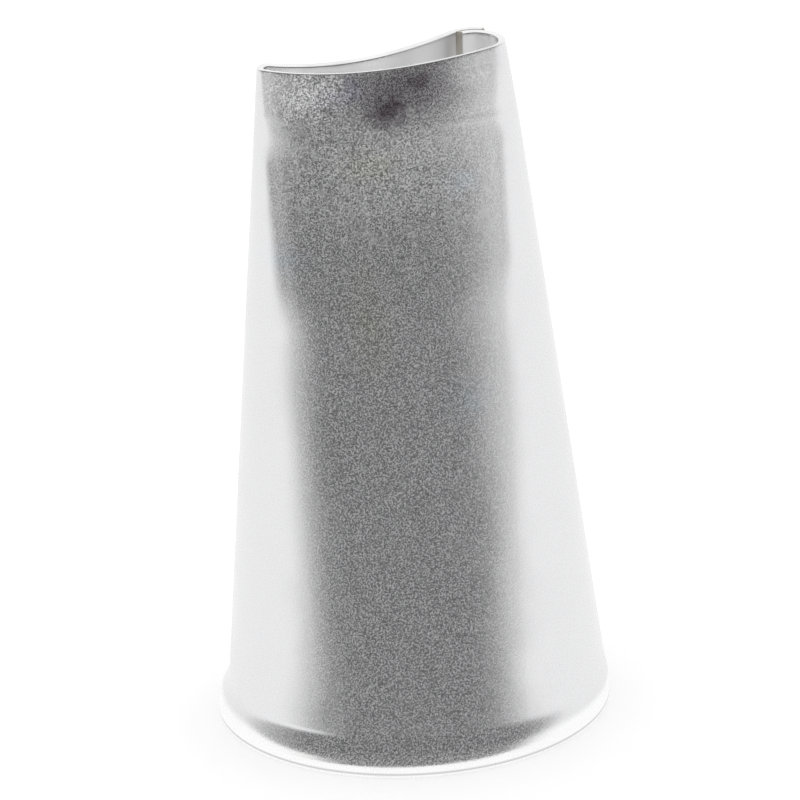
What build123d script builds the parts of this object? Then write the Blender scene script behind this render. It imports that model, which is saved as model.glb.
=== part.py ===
from build123d import *
import bisect
import math
import os

# Piping nozzle for curved petals, in millimetres.
# One blank of thin steel sheet is rolled into a cone, lapped along a seam, pressed flat
# towards its mouth and flared around its base. Brazing metal fills the seam.
# +Z runs from the base up to the mouth, with the origin at the centre of the base.
# The mouth's long axis lies along X, its narrow end at -X and its convex front at -Y.

# Overall sizes
nozzle_height = 44.45
base_radius = 12.7
sheet_thickness = 0.45

# Cone: where its straight walls would meet the base plane
cone_radius = 12.4
cone_offset = 0.3          # the cone stands this far off the flare's centre, at the base

# Flare around the base
foot_height = 0.5          # upright edge below the flare
flare_height = 2.5

# Mouth: a curved spine with a round at each end, and a width that grows between them
narrow_end_radius = 0.72
wide_end_radius = 2.18
narrow_end_reach = 7.37    # from the axis to the centre of the narrow end's round
wide_end_reach = 6.06
end_set_back = 0.63        # both of those centres lie this far behind the axis
spine_pull_across = 2.43   # the point that draws the spine forwards, on the narrow side
spine_pull_front = 3.4

# The hollowed back has no part of the cone that faces its way, so its straight lines are
# spread evenly between these two turns, counterclockwise from +X
back_first_turn = 70
back_last_turn = 122

# Pressing of the front. These lengths follow one another down from the mouth
band_length = 2.25         # from the mouth down to the upper foot of the ridge
ridge_length = 2           # on down to the top of the ridge
shoulder_length = 2.2      # from there down to the hollow
hollow_length = 6.5
waist_length = 3.5         # from the hollow down to the waist
fade_length = 4            # from the waist down to the plain cone
band_depth = 0.05
ridge_rise = 0.1
hollow_depth = 0.25
waist_rise = 0.15
press_turn = 15            # its middle faces this many degrees towards the narrow end
press_lobes = 3            # where its middle sinks, its two sides stand out a little

# Lapped seam, behind the wide end
seam_distance = 2.0        # along the mouth, from the wide end's tip to the middle of the lap
lap_width = 1.8
seam_gap = 0.08
joggle_length = 4.0        # the inner ply steps in over this length before it goes under

# Brazing metal
braze_clearance = 0.01
bead_width = 0.35
bead_height = 0.35

# How finely the curves are drawn
wall_steps = 400
round_steps = 150
stretch_steps = (3, 3, 10, 4, 7, 10, 6, 10)    # round the blank, from the lap to the lap
zone_steps = (1, 8, 3, 3, 4, 3, 3, 3, 1)       # from the base up to the mouth
film_steps = 6
probe_share = 0.001


# Mouth outline

narrow_centre = Vector(-narrow_end_reach, end_set_back)
wide_centre = Vector(wide_end_reach, end_set_back)
spine = Bezier(narrow_centre, Vector(-spine_pull_across, -spine_pull_front), wide_centre)
growth = wide_end_radius - narrow_end_radius
lean = math.asin(growth / spine.length)


def across(direction):
    # A quarter turn to the left
    return Vector(-direction.Y, direction.X)


def facing(turn):
    return Vector(math.cos(turn), math.sin(turn))


def along_turn(share):
    direction = spine.tangent_at(share * spine.length, PositionMode.LENGTH)
    return math.atan2(direction.Y, direction.X)


def wall_places(side):
    # Where a disc that slides along the spine and grows on its way touches the wall, and
    # the way the wall faces there: side is 1 behind the spine and -1 in front of it
    places = []
    for step in range(wall_steps + 1):
        share = step / wall_steps
        centre = spine.position_at(share * spine.length, PositionMode.LENGTH)
        turn = along_turn(share) + side * (math.pi / 2 + lean)
        places.append((centre + facing(turn) * (narrow_end_radius + growth * share), turn))
    return places


def round_places(centre, radius, first, last):
    # Points round one end of the mouth, between its walls, and the way they face
    turns = [first + (last - first) * step / round_steps for step in range(1, round_steps)]
    return [(centre + facing(turn) * radius, turn) for turn in turns]


def mouth_outline():
    # Counterclockwise from above, starting at the tip of the wide end, with the numbers of
    # the points where the walls and the rounds meet
    tip_turn = along_turn(1)
    back = wall_places(1)[::-1]
    front = [(point, turn + 2 * math.pi) for point, turn in wall_places(-1)]
    tip = wide_centre + facing(tip_turn) * wide_end_radius
    parts = [
        [(tip, tip_turn)] + round_places(wide_centre, wide_end_radius, tip_turn, back[0][1]),
        back,
        round_places(narrow_centre, narrow_end_radius, back[-1][1], front[0][1]),
        front,
        round_places(wide_centre, wide_end_radius, front[-1][1], tip_turn + 2 * math.pi),
    ]
    counts = [len(part) for part in parts]
    corners = [counts[0], sum(counts[:2]) - 1, sum(counts[:3]), sum(counts[:4]) - 1]
    places = sum(parts, []) + [(tip, tip_turn + 2 * math.pi)]
    return [point for point, turn in places], [turn for point, turn in places], corners


def running_lengths(points):
    lengths = [0]
    for last, point in zip(points, points[1:]):
        lengths.append(lengths[-1] + (point - last).length)
    return lengths


mouth_points, mouth_turns, corners = mouth_outline()
mouth_runs = running_lengths(mouth_points)
mouth_length = mouth_runs[-1]
back_first = bisect.bisect(mouth_turns, math.radians(back_first_turn), 0, corners[0])
back_last = bisect.bisect(mouth_turns, math.radians(back_last_turn), corners[1], corners[2])
joins = sorted(corners + [back_first, back_last])


def base_facings(first, last):
    # Each straight line ends at the point of the base that faces the same way as its point
    # of the mouth, but for those of the hollowed back
    turns = list(mouth_turns)
    for index in range(first, last):
        part = (mouth_runs[index] - mouth_runs[first]) / (mouth_runs[last] - mouth_runs[first])
        turns[index] = mouth_turns[first] + (mouth_turns[last] - mouth_turns[first]) * part
    return turns


base_turns = base_facings(back_first, back_last)


# Outside of the sheet

def between(value, stops, values):
    # The value that belongs to this one, on the straight line between its two neighbours
    index = min(max(bisect.bisect(stops, value), 1), len(stops) - 1)
    part = (value - stops[index - 1]) / (stops[index] - stops[index - 1])
    return values[index - 1] + (values[index] - values[index - 1]) * part


def smooth_step(value):
    value = min(max(value, 0), 1)
    return value * value * (3 - 2 * value)


def ruled_point(high, turn, height):
    # Straight lines run from the round base to the mouth, and the flare turns them out
    rise = height / nozzle_height
    low = Vector(cone_offset, 0) + facing(turn) * cone_radius
    point = low * (1 - rise) + high * rise
    flare = smooth_step((flare_height - height) / (flare_height - foot_height))
    return point + (facing(turn) * base_radius - point) * flare


def plain_point(share, height):
    run = (share % 1) * mouth_length
    high = between(run, mouth_runs, mouth_points)
    return ruled_point(high, between(run, mouth_runs, base_turns), height)


def pressed_heights():
    # From the foot of the pressing up to the band below the mouth
    heights = [nozzle_height - band_length]
    for length in (ridge_length, shoulder_length, hollow_length, waist_length, fade_length):
        heights.insert(0, heights[0] - length)
    return heights


def pressed_depth(height):
    # How far the front is pressed in, below zero where it stands out
    heights = pressed_heights()
    depths = (0, -waist_rise, hollow_depth, hollow_depth, -ridge_rise, band_depth)
    total = 0
    for low, high, before, after in zip(heights, heights[1:], depths, depths[1:]):
        total += (after - before) * smooth_step((height - low) / (high - low))
    return total


def pressed_share(outwards):
    # The whole depth in the middle of the front, and nothing at its sides and at the back
    turn = math.atan2(outwards.X, -outwards.Y) + math.radians(press_turn)
    if abs(turn) > math.pi / 2:
        return 0
    return math.cos(press_lobes * turn) * math.cos(turn) ** 2


def sheet_point(share, height, depth):
    # A point this deep under the outside, square to the wall
    probe = probe_share
    along = plain_point(share + probe, height) - plain_point(share - probe, height)
    outwards = across(along.normalized()) * -1
    reach = probe * nozzle_height
    rise = plain_point(share, height + reach) - plain_point(share, height - reach)
    slope = rise.dot(outwards) / (2 * reach)
    inwards = pressed_depth(height) * pressed_share(outwards) + depth * math.hypot(1, slope)
    point = plain_point(share, height) - outwards * inwards
    return Vector(point.X, point.Y, height)


def ply_depth(from_end):
    # The sheet is at full size up to the joggle, then steps in to pass under its other end
    return (sheet_thickness + seam_gap) * smooth_step(1 - (from_end - lap_width) / joggle_length)


# Sections

def round_lengths(height):
    # The way round at one height, from the line below the tip of the wide end
    points = [ruled_point(point, turn, height) for point, turn in zip(mouth_points, base_turns)]
    return running_lengths(points)


def share_at(run, runs):
    return between(run % runs[-1], runs, mouth_runs) / mouth_length


def strip_runs(runs):
    # Along the blank, from the free end of the outer ply to that of the inner ply
    seam = seam_distance / mouth_length * runs[-1]
    inner = [runs[join] for join in joins] + [runs[-1]]
    stops = [seam - lap_width / 2] + inner + [runs[-1] + seam + lap_width / 2]
    places = []
    for first, last, steps in zip(stops, stops[1:], stretch_steps):
        places += [first + (last - first) * step / steps for step in range(steps)]
    return places + [stops[-1]]


def strip_curves(points):
    # One curve to each stretch, spaced alike at every height
    spacing = strip_runs(mouth_runs)
    curves = []
    first = 0
    for steps in stretch_steps:
        last = first + steps
        curves.append(Edge.make_spline(points[first:last + 1], parameters=spacing[first:last + 1]))
        first = last
    return curves


def shell_section(height):
    runs = round_lengths(height)
    places = strip_runs(runs)
    outside = []
    inside = []
    for place in places:
        share = share_at(place, runs)
        depth = ply_depth(places[-1] - place)
        outside.append(sheet_point(share, height, depth))
        inside.append(sheet_point(share, height, depth + sheet_thickness))
    inner_end = Edge.make_line(outside[-1], inside[-1])
    outer_end = Edge.make_line(inside[0], outside[0])
    return Wire(strip_curves(outside) + [inner_end] + strip_curves(inside)[::-1] + [outer_end])


def braze_section(height):
    # A film between the plies, and a bead against the free end of each
    runs = round_lengths(height)
    seam = seam_distance / mouth_length * runs[-1]
    end = lap_width / 2 + braze_clearance
    toe = end + bead_width
    top = sheet_thickness + braze_clearance

    def at(place, depth):
        return sheet_point(share_at(seam + place, runs), height, depth)

    def on_inner_ply(place):
        return at(place, ply_depth(lap_width / 2 - place) - braze_clearance)

    places = [end - (end + toe) * step / film_steps for step in range(film_steps + 1)]
    lower = [on_inner_ply(place) for place in reversed(places)]
    upper = [at(-place, top) for place in reversed(places)]
    inner_peak = at(end, sheet_thickness + seam_gap - braze_clearance + bead_height)
    outer_peak = at(-end, top - bead_height)
    return Wire([
        Spline(*lower),
        Line(lower[-1], inner_peak),
        Line(inner_peak, upper[0]),
        Spline(*upper),
        Line(upper[-1], outer_peak),
        Line(outer_peak, lower[0]),
    ])


def loft_zones(section, bottom, top):
    # The foot, the flare, the cone and each bend of the pressing are lofted one by one, so
    # that the bends between them keep their places
    stops = [bottom, foot_height, flare_height] + pressed_heights() + [top]
    lofts = []
    for low, high, steps in zip(stops, stops[1:], zone_steps):
        heights = [low + (high - low) * step / steps for step in range(steps + 1)]
        lofts.append(Solid.make_loft([section(height) for height in heights]))
    return lofts[0].fuse(*lofts[1:])


# Sub-parts

nozzle_shell = loft_zones(shell_section, 0, nozzle_height)
seam_braze = loft_zones(braze_section, braze_clearance, nozzle_height - braze_clearance)

os.makedirs("parts", exist_ok=True)
export_step(nozzle_shell, "parts/nozzle_shell.step")
export_step(seam_braze, "parts/seam_braze.step")
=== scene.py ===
import math
import bpy
import bmesh
import numpy as np
from mathutils import Matrix, Vector


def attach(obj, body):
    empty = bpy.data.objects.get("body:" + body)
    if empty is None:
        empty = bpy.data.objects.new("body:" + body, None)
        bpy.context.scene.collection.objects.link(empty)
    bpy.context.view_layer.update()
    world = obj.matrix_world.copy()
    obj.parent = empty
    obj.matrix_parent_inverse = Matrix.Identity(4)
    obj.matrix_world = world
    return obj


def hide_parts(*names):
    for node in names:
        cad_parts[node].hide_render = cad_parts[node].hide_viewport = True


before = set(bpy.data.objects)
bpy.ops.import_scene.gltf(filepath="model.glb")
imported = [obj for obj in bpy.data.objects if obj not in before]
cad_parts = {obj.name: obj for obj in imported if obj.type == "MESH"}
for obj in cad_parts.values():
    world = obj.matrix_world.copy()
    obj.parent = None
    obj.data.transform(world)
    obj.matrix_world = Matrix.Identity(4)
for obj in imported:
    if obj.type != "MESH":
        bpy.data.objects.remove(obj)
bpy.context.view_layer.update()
scene = bpy.context.scene
mm = 0.001


# The nozzle's form, in millimetres: the same lengths as its solid

nozzle = {
    "height": 44.45,
    "baseRadius": 12.7,
    "sheet": 0.45,
    "coneRadius": 12.4,
    "coneOffset": 0.3,
    "footHeight": 0.5,
    "flareHeight": 2.5,
    "narrowEndRadius": 0.72,
    "wideEndRadius": 2.18,
    "narrowEndReach": 7.37,
    "wideEndReach": 6.06,
    "endSetBack": 0.63,
    "spinePull": (-2.43, -3.4),
    "backTurns": (70, 122),
    "pressHeights": (24, 28, 31.5, 38, 40.2, 42.2),
    "pressDepths": (0, -0.15, 0.25, 0.25, -0.1, 0.05),
    "pressTurn": 15,
    "pressLobes": 3,
    "seamDistance": 2.0,
    "lapWidth": 1.8,
    "seamGap": 0.08,
    "joggleLength": 4.0,
}

# How many points draw the mouth's walls and its round ends
outline = {
    "wallPoints": 3000,
    "endPoints": 600,
}


def discEnvelope():
    # The mouth's two walls: a disc slides along the curved spine and grows on its way
    n = nozzle
    ends = np.array([[-n["narrowEndReach"], n["endSetBack"]], [n["wideEndReach"], n["endSetBack"]]])
    pull = np.array(n["spinePull"])
    t = np.linspace(0, 1, outline["wallPoints"])[:, None]
    spine = ends[0] * (1 - t) ** 2 + pull * 2 * t * (1 - t) + ends[1] * t ** 2
    along = (pull - ends[0]) * 2 * (1 - t) + (ends[1] - pull) * 2 * t
    along /= np.linalg.norm(along, axis=1)[:, None]
    runs = np.r_[0, np.cumsum(np.linalg.norm(np.diff(spine, axis=0), axis=1))]
    share = (runs / runs[-1])[:, None]
    grown = n["wideEndRadius"] - n["narrowEndRadius"]
    radius = n["narrowEndRadius"] + grown * share
    lean = grown / runs[-1]
    left = np.c_[-along[:, 1], along[:, 0]]
    touches = [left * side * math.sqrt(1 - lean ** 2) - along * lean for side in (1, -1)]
    return spine, along, [(spine + touch * radius, touch) for touch in touches]


def mouthOutline():
    # Counterclockwise from above, starting at the tip of the wide end, with the way it faces
    n = nozzle
    spine, along, ((back, backTouch), (front, frontTouch)) = discEnvelope()

    def turnOf(way):
        return math.atan2(way[1], way[0])

    def roundEnd(centre, radius, first, last):
        turn = np.linspace(first, last, outline["endPoints"])[1:-1]
        return centre + radius * np.c_[np.cos(turn), np.sin(turn)], turn

    wideTurn = turnOf(along[-1])
    backTurn = np.unwrap([turnOf(v) for v in backTouch[::-1]])
    frontTurn = np.unwrap([turnOf(v) for v in frontTouch])
    frontTurn += 2 * math.pi * math.ceil((backTurn[-1] - frontTurn[0]) / (2 * math.pi))
    tip = spine[-1] + along[-1] * n["wideEndRadius"]
    upper, upperTurn = roundEnd(spine[-1], n["wideEndRadius"], wideTurn, backTurn[0])
    narrow, narrowTurn = roundEnd(spine[0], n["narrowEndRadius"], backTurn[-1], frontTurn[0])
    lower, lowerTurn = roundEnd(spine[-1], n["wideEndRadius"], frontTurn[-1], wideTurn + 2 * math.pi)
    points = np.concatenate([[tip], upper, back[::-1], narrow, front, lower, [tip]])
    turns = np.concatenate([[wideTurn], upperTurn, backTurn, narrowTurn, frontTurn, lowerTurn,
                            [wideTurn + 2 * math.pi]])
    runs = np.r_[0, np.cumsum(np.linalg.norm(np.diff(points, axis=0), axis=1))]
    corners = np.cumsum([len(upper) + 1, len(back), len(narrow), len(front)])
    return points, turns, runs / runs[-1], corners


mouth, mouthTurns, mouthShares, mouthCorners = mouthOutline()


def baseTurn():
    # Each straight line runs to the point of the base that faces the same way as its point of
    # the mouth. The hollowed back has none, so its lines are spread over a part of the base
    first, last = (math.radians(turn) for turn in nozzle["backTurns"])
    start = np.searchsorted(mouthTurns[:mouthCorners[0]], first)
    narrowEnd = slice(mouthCorners[1], mouthCorners[2])
    end = mouthCorners[1] + np.searchsorted(mouthTurns[narrowEnd], last)
    turns = mouthTurns.copy()
    part = (mouthShares[start:end] - mouthShares[start]) / (mouthShares[end] - mouthShares[start])
    turns[start:end] = mouthTurns[start] + (mouthTurns[end] - mouthTurns[start]) * part
    return turns


baseTurns = baseTurn()
mouthLength = float(np.linalg.norm(np.diff(mouth, axis=0), axis=1).sum())


def smoothStep(value):
    value = np.clip(value, 0, 1)
    return value * value * (3 - 2 * value)


def plainPoint(share, height):
    # Straight lines from the round base to the mouth, turned outwards by the flare
    n = nozzle
    whole = np.floor(share)
    turn = np.interp(share - whole, mouthShares, baseTurns)
    outwards = np.stack([np.cos(turn), np.sin(turn)], axis=-1)
    rise = (height / n["height"])[..., None]
    low = np.array([n["coneOffset"], 0]) + outwards * n["coneRadius"]
    high = np.stack([np.interp(share - whole, mouthShares, mouth[:, k]) for k in (0, 1)], axis=-1)
    point = low * (1 - rise) + high * rise
    flare = smoothStep((n["flareHeight"] - height) / (n["flareHeight"] - n["footHeight"]))
    return point + (outwards * n["baseRadius"] - point) * flare[..., None]


def pressing(height):
    # How far the front is pressed in, or stands out where the depth is below zero
    stops, depths = nozzle["pressHeights"], nozzle["pressDepths"]
    total = np.zeros_like(height)
    for low, high, before, after in zip(stops, stops[1:], depths, depths[1:]):
        total += (after - before) * smoothStep((height - low) / (high - low))
    return total


# The fine ridge that the pressing tool's edge left across the front
toolMark = {
    "height": 40.8,
    "tilt": -0.098,
    "rise": 0.035,
    "halfWidth": 0.25,
}


def girthRuns(height):
    # The way round at one height, from the line below the wide end's tip
    loop = plainPoint(mouthShares, np.full(len(mouthShares), height))
    return np.r_[0, np.cumsum(np.linalg.norm(np.diff(loop, axis=0), axis=1))]


def sheetPoint(share, height, depth):
    # A point this deep under the outside, square to the wall. The wall's way and slope come from
    # points a short share and a short reach apart
    n = nozzle
    probe, reach = 0.001, 0.05
    along = plainPoint(share + probe, height) - plainPoint(share - probe, height)
    along /= np.linalg.norm(along, axis=-1)[..., None]
    outwards = np.stack([along[..., 1], -along[..., 0]], axis=-1)
    rise = plainPoint(share, height + reach) - plainPoint(share, height - reach)
    slope = (rise * outwards).sum(-1) / (2 * reach)
    turn = np.arctan2(outwards[..., 0], -outwards[..., 1]) + math.radians(n["pressTurn"])
    onFront = np.abs(turn) < math.pi / 2
    middle = np.where(onFront, np.cos(n["pressLobes"] * turn) * np.cos(turn) ** 2, 0)
    plain = plainPoint(share, height)
    fromMark = (height - toolMark["height"] - toolMark["tilt"] * plain[..., 0]) / toolMark["halfWidth"]
    mark = toolMark["rise"] * np.exp(-fromMark ** 2) * np.where(onFront, np.cos(turn) ** 2, 0)
    inwards = pressing(height) * middle - mark + depth * np.hypot(1, slope)
    point = plain - outwards * inwards[..., None]
    return np.concatenate([point, height[..., None]], axis=-1)


def plyDepth(fromEnd):
    # The sheet is at full size up to the joggle, then steps in to pass under its other end
    n = nozzle
    return (n["sheet"] + n["seamGap"]) * smoothStep(1 - (fromEnd - n["lapWidth"]) / n["joggleLength"])


def spread(stops, steps):
    # Evenly divided stretches between the stops
    values = []
    for first, last, count in zip(stops, stops[1:], steps):
        values += [first + (last - first) * k / count for k in range(count)]
    return np.array(values + [stops[-1]])


# Making pieces

def newObject(name, bm, materials):
    mesh = bpy.data.meshes.new(name)
    bm.to_mesh(mesh)
    bm.free()
    for material in materials:
        mesh.materials.append(material)
    thing = bpy.data.objects.new(name, mesh)
    scene.collection.objects.link(thing)
    return thing


def finishPiece(name, bm, materials, replaced):
    piece = newObject(name, bm, materials)
    for polygon in piece.data.polygons:
        polygon.use_smooth = True
    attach(piece, "root")
    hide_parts(replaced)
    return piece


# Faces between one named height and the next and along each stretch of the outline, and the
# rounding of the sheet's edges in millimetres
wall = {
    "rowSteps": (4, 22, 40, 12, 14, 18, 20, 22, 8),
    "columnSteps": (8, 56, 30, 60, 24, 24),
    "edgeRound": 0.14,
    "edgeSegments": 3,
    "edgeAngle": 50,
}


def makeShell(outside, inside, cutEdge):
    # One strip of sheet, from the free end of the outer ply round to that of the inner ply
    n = nozzle
    levels = [0, n["footHeight"], n["flareHeight"], *n["pressHeights"], n["height"]]
    heights = spread(levels, wall["rowSteps"])
    columns, rows = sum(wall["columnSteps"]), len(heights) - 1
    bm = bmesh.new()
    bmesh.ops.create_grid(bm, x_segments=columns, y_segments=rows, size=1)
    flat = np.array([v.co for v in bm.verts])
    column = np.rint((flat[:, 0] + 1) / 2 * columns).astype(int)
    row = np.rint((flat[:, 1] + 1) / 2 * rows).astype(int)
    shares, fromEnd, fromSeam = [], [], []
    for height in heights:
        runs = girthRuns(height)
        middle, half = n["seamDistance"] / mouthLength * runs[-1], n["lapWidth"] / 2
        stops = [middle - half, *runs[mouthCorners], runs[-1], runs[-1] + middle + half]
        places = spread(stops, wall["columnSteps"])
        shares.append(np.interp(places % runs[-1], runs, mouthShares))
        fromEnd.append(stops[-1] - places)
        fromSeam.append(np.minimum(np.abs(places - middle), np.abs(places - middle - runs[-1])))
    share, fromEnd, fromSeam = (np.array(table)[row, column] for table in (shares, fromEnd, fromSeam))
    points = sheetPoint(share, heights[row], plyDepth(fromEnd)) * mm
    seamReach = bm.verts.layers.float.new("seamReach")
    for vert, point, reach in zip(bm.verts, points, fromSeam):
        vert.co = point
        vert[seamReach] = reach
    bm.normal_update()
    piece = finishPiece("nozzleShell", bm, [outside, inside, cutEdge], "nozzle_shell")
    thick = piece.modifiers.new("sheet", "SOLIDIFY")
    thick.thickness = n["sheet"] * mm
    thick.offset = -1
    thick.use_even_offset = True
    thick.material_offset = 1
    thick.material_offset_rim = 2
    edge = piece.modifiers.new("edges", "BEVEL")
    edge.width = wall["edgeRound"] * mm
    edge.segments = wall["edgeSegments"]
    edge.limit_method = "ANGLE"
    edge.angle_limit = math.radians(wall["edgeAngle"])
    edge.material = 2


# Material helpers

def newMaterial(name):
    material = bpy.data.materials.new(name)
    material.use_nodes = True
    nodes = material.node_tree.nodes
    nodes.clear()
    output = nodes.new("ShaderNodeOutputMaterial")
    shader = nodes.new("ShaderNodeBsdfPrincipled")
    material.node_tree.links.new(shader.outputs["BSDF"], output.inputs["Surface"])
    return material, nodes, material.node_tree.links, shader


def connect(links, socket, value):
    if isinstance(value, bpy.types.NodeSocket):
        links.new(value, socket)
    elif value is not None:
        socket.default_value = value


def newMath(nodes, links, operation, first, second=None, clamp=False):
    node = nodes.new("ShaderNodeMath")
    node.operation = operation
    node.use_clamp = clamp
    for socket, value in zip(node.inputs, (first, second)):
        connect(links, socket, value)
    return node.outputs[0]


def newVectorMath(nodes, links, operation, first, second=None):
    node = nodes.new("ShaderNodeVectorMath")
    node.operation = operation
    connect(links, node.inputs[0], first)
    connect(links, node.inputs[1], second)
    return node


def newFade(nodes, links, value, limits, results=(0, 1)):
    # A soft step from the first result to the second
    node = nodes.new("ShaderNodeMapRange")
    node.interpolation_type = "SMOOTHSTEP"
    links.new(value, node.inputs["Value"])
    for name, number in zip(("From Min", "From Max", "To Min", "To Max"), (*limits, *results)):
        node.inputs[name].default_value = number
    return node.outputs[0]


def newNoise(nodes, links, place, scale, detail, stretch=None):
    if stretch:
        mapping = nodes.new("ShaderNodeMapping")
        mapping.inputs["Scale"].default_value = stretch
        links.new(place, mapping.inputs["Vector"])
        place = mapping.outputs[0]
    node = nodes.new("ShaderNodeTexNoise")
    connect(links, node.inputs["Scale"], scale)
    node.inputs["Detail"].default_value = detail
    links.new(place, node.inputs["Vector"])
    return node.outputs["Fac"]


def mixColour(nodes, links, mask, first, second):
    node = nodes.new("ShaderNodeMix")
    node.data_type = "RGBA"
    connect(links, node.inputs[0], mask)
    connect(links, node.inputs[6], first)
    connect(links, node.inputs[7], second)
    return node.outputs[2]


def newGroup(name, inputs, outputs):
    tree = bpy.data.node_groups.new(name, "ShaderNodeTree")
    for label, kind, start in inputs:
        socket = tree.interface.new_socket(label, in_out="INPUT", socket_type=kind)
        socket.default_value = start
    for label, kind in outputs:
        tree.interface.new_socket(label, in_out="OUTPUT", socket_type=kind)
    nodes = tree.nodes
    return tree, nodes, tree.links, nodes.new("NodeGroupInput"), nodes.new("NodeGroupOutput")


def useGroup(nodes, links, tree, **values):
    node = nodes.new("ShaderNodeGroup")
    node.node_tree = tree
    for label, value in values.items():
        connect(links, node.inputs[label], value)
    return node


# The depth of the bump is in metres, and the coarse grain's scale is a share of the fine one's
grain = {
    "depth": 0.000005,
    "detail": 3,
    "coarseShare": 0.31,
    "coarseDetail": 1,
    "coarseHeight": 0.5,
    "speckleEnds": (0.37, 0.65),
}


def makeBlastGrain():
    # The pits that a blast of fine beads leaves in the steel
    tree, nodes, links, given, result = newGroup(
        "blastGrain",
        [("Scale", "NodeSocketFloat", 9000), ("Place", "NodeSocketVector", (0, 0, 0))],
        [("Height", "NodeSocketFloat"), ("Speckle", "NodeSocketFloat")])
    fine = newNoise(nodes, links, given.outputs["Place"], given.outputs["Scale"], grain["detail"])
    scale = newMath(nodes, links, "MULTIPLY", given.outputs["Scale"], grain["coarseShare"])
    coarse = newNoise(nodes, links, given.outputs["Place"], scale, grain["coarseDetail"])
    coarse = newMath(nodes, links, "MULTIPLY", coarse, grain["coarseHeight"])
    links.new(newMath(nodes, links, "ADD", fine, coarse), result.inputs["Height"])
    links.new(newFade(nodes, links, fine, grain["speckleEnds"]), result.inputs["Speckle"])
    return tree


softEdge = {
    "scale": 1600,
    "detail": 3,
    "wander": 2.4,
    "ends": (0.05, 1.25),
}


def makeSoftSpot():
    # A soft, ragged spot round a point on the surface
    tree, nodes, links, given, result = newGroup(
        "softSpot",
        [("Place", "NodeSocketVector", (0, 0, 0)), ("Centre", "NodeSocketVector", (0, 0, 0)),
         ("Size", "NodeSocketVector", (1, 1, 1)), ("Ragged", "NodeSocketFloat", 0.5)],
        [("Mask", "NodeSocketFloat")])
    away = newVectorMath(nodes, links, "SUBTRACT", given.outputs["Place"], given.outputs["Centre"])
    away = newVectorMath(nodes, links, "DIVIDE", away.outputs[0], given.outputs["Size"])
    away = newVectorMath(nodes, links, "LENGTH", away.outputs[0])
    ragged = newNoise(nodes, links, given.outputs["Place"], softEdge["scale"], softEdge["detail"])
    ragged = newMath(nodes, links, "SUBTRACT", ragged, 0.5)
    ragged = newMath(nodes, links, "MULTIPLY", ragged, given.outputs["Ragged"])
    ragged = newMath(nodes, links, "MULTIPLY", ragged, softEdge["wander"])
    edge = newMath(nodes, links, "ADD", away.outputs["Value"], ragged)
    links.new(newFade(nodes, links, edge, softEdge["ends"], (1, 0)), result.inputs["Mask"])
    return tree


handling = {
    "smearScale": 230,
    "smearDetail": 3,
    "smearEnds": (0.35, 0.68),
    "streakScale": 420,
    "streakDetail": 2,
    "streakStretch": (1, 1, 0.12),
    "streakEnds": (0.4, 0.66),
}


def makeHandling():
    # Faint wiped streaks and finger marks, which change the gloss more than the colour
    tree, nodes, links, given, result = newGroup(
        "handlingMarks", [("Place", "NodeSocketVector", (0, 0, 0))],
        [("Smears", "NodeSocketFloat"), ("Streaks", "NodeSocketFloat")])
    h = handling
    smears = newNoise(nodes, links, given.outputs["Place"], h["smearScale"], h["smearDetail"])
    streaks = newNoise(nodes, links, given.outputs["Place"], h["streakScale"], h["streakDetail"],
                       h["streakStretch"])
    links.new(newFade(nodes, links, smears, h["smearEnds"]), result.inputs["Smears"])
    links.new(newFade(nodes, links, streaks, h["streakEnds"]), result.inputs["Streaks"])
    return tree


# Millimetres from the seam for the reach, the wander and the ends
heat = {
    "reach": 4,
    "wanderScale": 330,
    "wanderDetail": 2,
    "wander": 2.4,
    "strength": 0.55,
    "ends": (1.6, 3.4),
    "bands": (
        (0.2, (0.5, 0.53, 0.6, 1)),
        (0.36, (0.56, 0.5, 0.55, 1)),
        (0.5, (0.72, 0.62, 0.46, 1)),
        (0.66, (0.8, 0.76, 0.64, 1)),
        (0.85, (0.82, 0.82, 0.83, 1)),
    ),
}


def makeHeatTint():
    # Blue, brown and straw bands beside the brazed seam, by the distance from it
    tree, nodes, links, given, result = newGroup(
        "heatTint", [("Reach", "NodeSocketFloat", 9), ("Place", "NodeSocketVector", (0, 0, 0))],
        [("Colour", "NodeSocketColor"), ("Mask", "NodeSocketFloat")])
    wander = newNoise(nodes, links, given.outputs["Place"], heat["wanderScale"], heat["wanderDetail"])
    wander = newMath(nodes, links, "SUBTRACT", wander, 0.5)
    wander = newMath(nodes, links, "MULTIPLY", wander, heat["wander"])
    reach = newMath(nodes, links, "ADD", given.outputs["Reach"], wander)
    bands = nodes.new("ShaderNodeValToRGB")
    links.new(newMath(nodes, links, "DIVIDE", reach, heat["reach"]), bands.inputs[0])
    stops = bands.color_ramp.elements
    for stop, (position, colour) in zip((stops[0], stops[1]), (heat["bands"][0], heat["bands"][-1])):
        stop.position, stop.color = position, colour
    for position, colour in heat["bands"][1:-1]:
        stops.new(position).color = colour
    links.new(bands.outputs["Color"], result.inputs["Colour"])
    links.new(newFade(nodes, links, reach, heat["ends"], (heat["strength"], 0)), result.inputs["Mask"])
    return tree


blastGrain = makeBlastGrain()
softSpot = makeSoftSpot()
handlingMarks = makeHandling()
heatTint = makeHeatTint()


# Finishes

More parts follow.
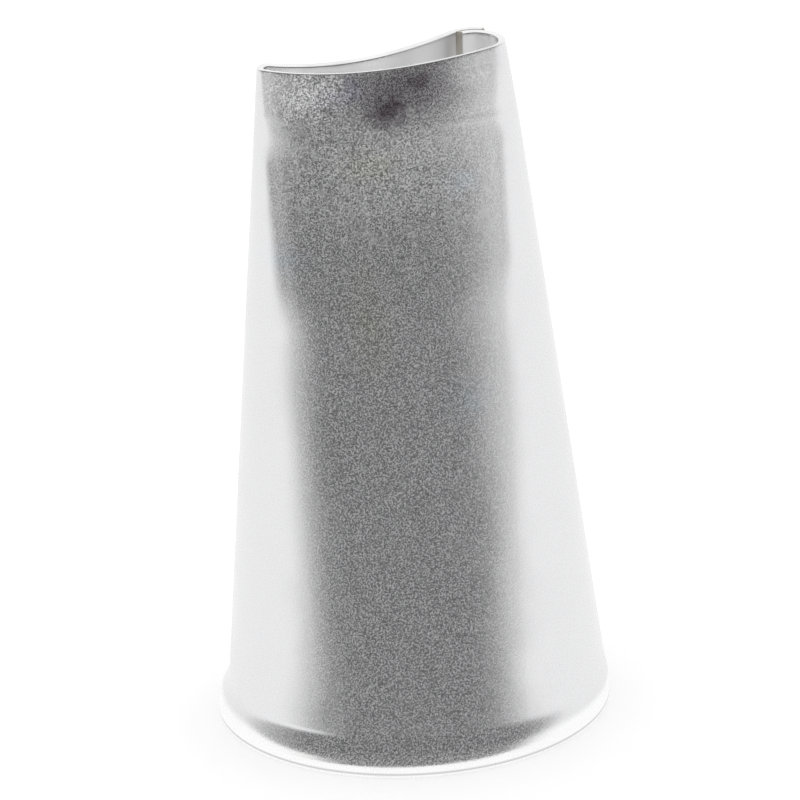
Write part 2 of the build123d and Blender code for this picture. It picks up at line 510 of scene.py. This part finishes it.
steel = {
    "colour": (0.82, 0.82, 0.83, 1),
    "roughness": (0.18, 0.26),
    "grainScale": 10000,
    "grainStrength": 1.0,
    "frost": 0.33,
    "scuffFrost": 0.5,
    "speckle": 0.1,
    "speckleColour": (0.5, 0.5, 0.51, 1),
    # Colour of the smudges and of the painted shade
    "smudgeAndShade": (0.2, 0.17, 0.19, 1),
    "oilTint": (0.78, 0.79, 0.72, 1),
    "coolTint": (0.74, 0.8, 0.84, 1),
    "blueTint": (0.55, 0.55, 0.72, 1),
    "scuffRoughness": 0.3,
    # A thin line of painted shade just above the foot's edge, where the floor meets it
    "paintedContactShade": (0.132, 0.22, 0.38),
    "paintedContactShadeStrength": 0.45,
    # A painted highlight on the foot, fading out between these heights in millimetres
    "paintedHighlight": (0.97, 0.97, 0.97, 1),
    "paintedHighlightEnds": (1.1, 1.6),
}

# Marks on the front: how ragged each kind is, then centre and size in millimetres, and strength
# Dark patches near the mouth: partly smudges, partly painted shade where the dented metal is pinched in
darkSpots = 0.5, (
    ((1.3, -2.9, 43.4), (1.7, 2, 1.2), 0.9),
    ((-0.7, -3.3, 42.0), (2.2, 2, 1.6), 1.0),
    ((-0.1, -3.4, 41.5), (0.14, 2, 1.25), 0.7),
    ((-4.5, -2.5, 42.1), (0.7, 2, 0.4), 0.5),
    ((2.0, -2.7, 44.3), (2.4, 2, 0.45), 0.5),
    ((0.3, -3.0, 42.9), (4.6, 2.5, 2.5), 0.68),
    ((3.2, -3.0, 42.0), (2.2, 2.5, 0.9), 0.25),
    ((-2.6, -2.9, 42.6), (2.0, 2.5, 0.8), 0.25),
)
scuffedSpots = 0.7, (
    ((-6.0, -2.2, 43.1), (4.2, 3.5, 2.2), 1.0),
    ((5.6, -2.2, 43.3), (2.6, 2.5, 1.2), 0.6),
    ((0.0, -3.6, 38.8), (12.0, 5.0, 5.5), 0.4),
)
oilSpots = 0.5, (
    ((-2.1, -3.8, 38.5), (2.4, 3, 1.3), 0.8),
    ((-3.3, -5.9, 28.7), (1.5, 3, 4.2), 0.7),
)
coolSpots = 0.5, (
    ((3.7, -4.0, 36.7), (1.3, 3, 0.8), 0.6),
    ((2.4, -7.2, 23.2), (1.7, 3, 1.4), 0.6),
    ((-7.6, -2.6, 32.6), (1.3, 3, 1.0), 0.6),
)
blueSpots = 0.6, (
    ((-2.7, -2.8, 43.5), (0.9, 2, 0.9), 0.6),
    ((-3.6, -2.4, 42.8), (1.6, 2, 0.6), 0.3),
)


def spotsMask(nodes, links, place, kind):
    ragged, spots = kind
    total = None
    for centre, size, strength in spots:
        spot = useGroup(nodes, links, softSpot, Place=place, Centre=[c * mm for c in centre],
                        Size=[s * mm for s in size], Ragged=ragged)
        mask = newMath(nodes, links, "MULTIPLY", spot.outputs["Mask"], strength)
        total = mask if total is None else newMath(nodes, links, "MAXIMUM", total, mask)
    return total


def seamTint(nodes, links, place, colour):
    reach = nodes.new("ShaderNodeAttribute")
    reach.attribute_name = "seamReach"
    tint = useGroup(nodes, links, heatTint, Reach=reach.outputs["Fac"], Place=place)
    return mixColour(nodes, links, tint.outputs["Mask"], colour, tint.outputs["Colour"])


def addGrain(nodes, links, shader, place, strength, scale):
    pits = useGroup(nodes, links, blastGrain, Scale=scale, Place=place)
    bump = nodes.new("ShaderNodeBump")
    bump.inputs["Strength"].default_value = strength
    bump.inputs["Distance"].default_value = grain["depth"]
    links.new(pits.outputs["Height"], bump.inputs["Height"])
    links.new(bump.outputs["Normal"], shader.inputs["Normal"])
    return pits.outputs["Speckle"]


def makeOutsideSteel():
    # Bead-blasted outside, with smudges, painted shade and scuffs near the mouth, and a painted
    # highlight and a line of painted shade at the foot. A part of each grain scatters light like frost
    material, nodes, links, shader = newMaterial("blastedSteel")
    place = nodes.new("ShaderNodeTexCoord").outputs["Object"]
    marks = useGroup(nodes, links, handlingMarks, Place=place)
    speckle = addGrain(nodes, links, shader, place, steel["grainStrength"], steel["grainScale"])

    colour = mixColour(nodes, links, newMath(nodes, links, "MULTIPLY", speckle, steel["speckle"]),
                       steel["colour"], steel["speckleColour"])
    for kind, tint in ((oilSpots, "oilTint"), (coolSpots, "coolTint"), (blueSpots, "blueTint")):
        colour = mixColour(nodes, links, spotsMask(nodes, links, place, kind), colour, steel[tint])
    colour = seamTint(nodes, links, place, colour)
    dark = spotsMask(nodes, links, place, darkSpots)
    # A painted highlight on the foot, with a thin line of painted shade just above its edge
    parts = nodes.new("ShaderNodeSeparateXYZ")
    links.new(place, parts.inputs[0])
    start, middle, end = (value * mm for value in steel["paintedContactShade"])
    line = newMath(nodes, links, "MULTIPLY",
                   newFade(nodes, links, parts.outputs["Z"], (start, middle)),
                   newFade(nodes, links, parts.outputs["Z"], (middle, end), (steel["paintedContactShadeStrength"], 0)))
    # The painted highlight lightens the foot
    ends = [value * mm for value in steel["paintedHighlightEnds"]]
    paintedHighlighted = newFade(nodes, links, parts.outputs["Z"], ends, (1, 0))
    colour = mixColour(nodes, links, paintedHighlighted, colour, steel["paintedHighlight"])
    # Smudges and painted shade darken the colour
    smudgeAndShadeMask = newMath(nodes, links, "MAXIMUM", dark, line)
    colour = mixColour(nodes, links, smudgeAndShadeMask, colour, steel["smudgeAndShade"])
    links.new(colour, shader.inputs["Base Color"])

    rough = newFade(nodes, links, marks.outputs["Smears"], (0, 1), steel["roughness"])
    scuffed = spotsMask(nodes, links, place, scuffedSpots)
    more = newMath(nodes, links, "MULTIPLY", scuffed, steel["scuffRoughness"])
    frost = newMath(nodes, links, "MULTIPLY", scuffed, steel["scuffFrost"])
    frost = newMath(nodes, links, "ADD", frost, steel["frost"])
    frost = newMath(nodes, links, "MULTIPLY", frost, speckle)
    links.new(newMath(nodes, links, "SUBTRACT", 1, frost, True), shader.inputs["Metallic"])
    links.new(newMath(nodes, links, "ADD", rough, more, True), shader.inputs["Roughness"])
    return material


rolledSheet = {
    "colours": ((0.97, 0.97, 0.97, 1), (0.87, 0.87, 0.87, 1)),
    "mark": "Streaks",
    "markStrength": 0.35,
    "roughness": (0.27, 0.39),
    "grainScale": 5200,
    "grainStrength": 0.5,
}

bareEdge = {
    "colours": ((0.95, 0.95, 0.95, 1), (0.8, 0.8, 0.8, 1)),
    "mark": "Smears",
    "markStrength": 0.4,
    "roughness": (0.25, 0.4),
    "grainScale": 7000,
    "grainStrength": 0.25,
}

brazing = {
    "colours": ((0.56, 0.53, 0.48, 1), (0.4, 0.37, 0.33, 1)),
    "colourEnds": (0.35, 0.65),
    "roughness": (0.25, 0.45),
    "roughnessEnds": (0.3, 0.7),
    "patchScale": 900,
    "patchDetail": 3,
    "patchStretch": (1, 1, 0.4),
    "grainScale": 3200,
    "grainStrength": 0.6,
}


def newMetal(name, finish):
    material, nodes, links, shader = newMaterial(name)
    shader.inputs["Metallic"].default_value = 1
    place = nodes.new("ShaderNodeTexCoord").outputs["Object"]
    addGrain(nodes, links, shader, place, finish["grainStrength"], finish["grainScale"])
    return material, nodes, links, shader, place


def makeHandledMetal(name, finish):
    # A metal whose colour follows one kind of handling mark, and its gloss the smears
    material, nodes, links, shader, place = newMetal(name, finish)
    marks = useGroup(nodes, links, handlingMarks, Place=place)
    worn = newMath(nodes, links, "MULTIPLY", marks.outputs[finish["mark"]], finish["markStrength"])
    links.new(mixColour(nodes, links, worn, *finish["colours"]), shader.inputs["Base Color"])
    gloss = newFade(nodes, links, marks.outputs["Smears"], (0, 1), finish["roughness"])
    links.new(gloss, shader.inputs["Roughness"])
    return material


def makeJointMetal():
    # Warm brazing metal, dulled in patches
    material, nodes, links, shader, place = newMetal("jointMetal", brazing)
    patches = newNoise(nodes, links, place, brazing["patchScale"], brazing["patchDetail"],
                       brazing["patchStretch"])
    dulled = newFade(nodes, links, patches, brazing["colourEnds"])
    links.new(mixColour(nodes, links, dulled, *brazing["colours"]), shader.inputs["Base Color"])
    gloss = newFade(nodes, links, patches, brazing["roughnessEnds"], brazing["roughness"])
    links.new(gloss, shader.inputs["Roughness"])
    return material


# The inside keeps the plain sheet's face with faint marks of the rolls, and the cut edges are bright
insideSteel = makeHandledMetal("rolledSteel", rolledSheet)
edgeSteel = makeHandledMetal("cutEdge", bareEdge)
makeShell(makeOutsideSteel(), insideSteel, edgeSteel)
print("shell made")

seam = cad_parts["seam_braze"]
seam.data.materials.clear()
seam.data.materials.append(makeJointMetal())
print("seam dressed")


# Studio, with lengths in metres and turns in degrees from the camera's side

studio = {
    "floorRadius": 3.0,
    "floorSteps": 96,
    "floorColour": (0.8, 0.8, 0.8, 1),
    "floorRoughness": 0.9,
    "floorGlow": 0.3,
    "white": (1, 1, 1, 1),
    "worldStrength": 1.0,
    "cardGrey": 0.13,
    "cardNear": 0.02,
    "cardFar": 0.4,
    "cardTop": 0.4,
    "cardLift": 0.0005,
    "cardInner": 0.001,
    "cardCorner": 0.6,
    "cardSteps": 72,
    "cardTurn": 2,
    "cardReach": 150,
    "cardFade": (40, 74),
    "roofFade": (0.16, 0.3),
    "roofEnds": (45, 150),
    "roofTurn": 5,
    "rightWider": (-10, 4),
    "rightStretch": (0.07, 0.27),
}

# Turns in degrees, distance and aim in millimetres
photoCamera = {
    "azimuth": -14.91,
    "elevation": 22.1125,
    "roll": -2.7896,
    "distance": 600,
    "aimAcross": 0.0094,
    "aimHeight": 20.840,
    "lens": 421.2,
    "sensor": 36,
    "clip": (0.01, 100),
}


def whiteInMirrors(nodes, links, lit):
    # White in reflections, and lit like any surface for everything else
    path = nodes.new("ShaderNodeLightPath")
    white = nodes.new("ShaderNodeEmission")
    mix = nodes.new("ShaderNodeMixShader")
    links.new(path.outputs["Is Glossy Ray"], mix.inputs["Fac"])
    links.new(lit, mix.inputs[1])
    links.new(white.outputs[0], mix.inputs[2])
    return mix.outputs[0]


def stageObject(name, bm, material):
    thing = newObject(name, bm, [material])
    return thing


def makeFloor():
    material, nodes, links, shader = newMaterial("paleFloor")
    shader.inputs["Base Color"].default_value = studio["floorColour"]
    shader.inputs["Roughness"].default_value = studio["floorRoughness"]
    shader.inputs["Specular IOR Level"].default_value = 0
    shader.inputs["Emission Color"].default_value = studio["white"]
    shader.inputs["Emission Strength"].default_value = studio["floorGlow"]
    output = next(node for node in nodes if node.bl_idname == "ShaderNodeOutputMaterial")
    links.new(whiteInMirrors(nodes, links, shader.outputs[0]), output.inputs["Surface"])
    bm = bmesh.new()
    bmesh.ops.create_circle(bm, cap_ends=True, segments=studio["floorSteps"],
                            radius=studio["floorRadius"])
    stageObject("floor", bm, material)


def makeCardGlow():
    # Grey in front of the nozzle and over it, fading to white at the sides. Far from the nozzle
    # the grey reaches further to the right
    fullTurn = 360
    material = bpy.data.materials.new("greyCard")
    material.use_nodes = True
    nodes, links = material.node_tree.nodes, material.node_tree.links
    nodes.clear()
    place = nodes.new("ShaderNodeTexCoord").outputs["Object"]
    turned = nodes.new("ShaderNodeVectorRotate")
    turned.rotation_type = "Z_AXIS"
    turned.inputs["Angle"].default_value = math.radians(90 - photoCamera["azimuth"] - studio["cardTurn"])
    links.new(place, turned.inputs["Vector"])
    fan = nodes.new("ShaderNodeTexGradient")
    fan.gradient_type = "RADIAL"
    links.new(turned.outputs[0], fan.inputs["Vector"])
    turn = newMath(nodes, links, "SUBTRACT", fan.outputs["Fac"], 0.5)
    length = newVectorMath(nodes, links, "LENGTH", place).outputs["Value"]
    wider = np.divide(studio["rightWider"], fullTurn)
    wider = newFade(nodes, links, length, studio["rightStretch"], wider)
    wider = newMath(nodes, links, "MULTIPLY", wider, newMath(nodes, links, "GREATER_THAN", turn, 0))
    away = newMath(nodes, links, "SUBTRACT", newMath(nodes, links, "ABSOLUTE", turn), wider)
    grey = studio["cardGrey"]
    sides = newFade(nodes, links, away, np.divide(studio["cardFade"], fullTurn), (grey, 1))
    parts = nodes.new("ShaderNodeSeparateXYZ")
    links.new(place, parts.inputs[0])
    # The sine of the angle above the floor
    climb = newMath(nodes, links, "DIVIDE", parts.outputs["Z"], length)
    roof = newFade(nodes, links, climb, studio["roofFade"], (1, grey))
    away = newMath(nodes, links, "ADD", turn, studio["roofTurn"] / fullTurn)
    away = newMath(nodes, links, "ABSOLUTE", away)
    ends = newFade(nodes, links, away, np.divide(studio["roofEnds"], fullTurn))
    overhead = newMath(nodes, links, "MAXIMUM", roof, ends)
    glow = nodes.new("ShaderNodeEmission")
    links.new(newMath(nodes, links, "MINIMUM", sides, overhead), glow.inputs["Strength"])
    output = nodes.new("ShaderNodeOutputMaterial")
    links.new(glow.outputs[0], output.inputs["Surface"])
    return material


def makeCard():
    # A card that only reflections see lies round the nozzle, open at the back, rises between it
    # and the camera and closes over the top, as for a photograph of bright metal
    near, far, top = studio["cardNear"], studio["cardFar"], studio["cardTop"]
    lift, inner, corner = studio["cardLift"], studio["cardInner"], studio["cardCorner"]
    profile = [(near, lift), (far, lift), (far, top * corner), (far * corner, top), (inner, top)]
    first = math.radians(photoCamera["azimuth"] + studio["cardTurn"] - studio["cardReach"] - 90)
    span = math.radians(2 * studio["cardReach"])
    bm = bmesh.new()
    verts = [bm.verts.new((r * math.cos(first), r * math.sin(first), z)) for r, z in profile]
    edges = [bm.edges.new(pair) for pair in zip(verts, verts[1:])]
    bmesh.ops.spin(bm, geom=verts + edges, cent=(0, 0, 0), axis=(0, 0, 1), angle=span,
                   steps=studio["cardSteps"], use_merge=False)
    card = stageObject("greyCard", bm, makeCardGlow())
    card.visible_camera = False
    card.visible_diffuse = False
    card.visible_shadow = False
    card.visible_transmission = False


def makeWorld():
    world = bpy.data.worlds.new("studio")
    scene.world = world
    world.use_nodes = True
    background = world.node_tree.nodes["Background"]
    background.inputs["Color"].default_value = studio["white"]
    background.inputs["Strength"].default_value = studio["worldStrength"]


def makeCamera():
    c = photoCamera
    a, e, r = (math.radians(c[key]) for key in ("azimuth", "elevation", "roll"))
    back = Vector((math.sin(a) * math.cos(e), -math.cos(a) * math.cos(e), math.sin(e)))
    right = Vector((0, 0, 1)).cross(back).normalized()
    up = back.cross(right)
    aim = (right * c["aimAcross"] + Vector((0, 0, c["aimHeight"]))) * mm
    data = bpy.data.cameras.new("camera")
    data.lens = c["lens"]
    data.sensor_width = c["sensor"]
    data.clip_start, data.clip_end = c["clip"]
    camera = bpy.data.objects.new("camera", data)
    scene.collection.objects.link(camera)
    turned = right * math.cos(r) + up * math.sin(r)
    raised = up * math.cos(r) - right * math.sin(r)
    spot = aim + back * c["distance"] * mm
    camera.matrix_world = Matrix.Translation(spot) @ Matrix((turned, raised, back)).transposed().to_4x4()
    scene.camera = camera


makeWorld()
makeFloor()
makeCard()
makeCamera()
scene.view_settings.view_transform = "Standard"
print("studio made")
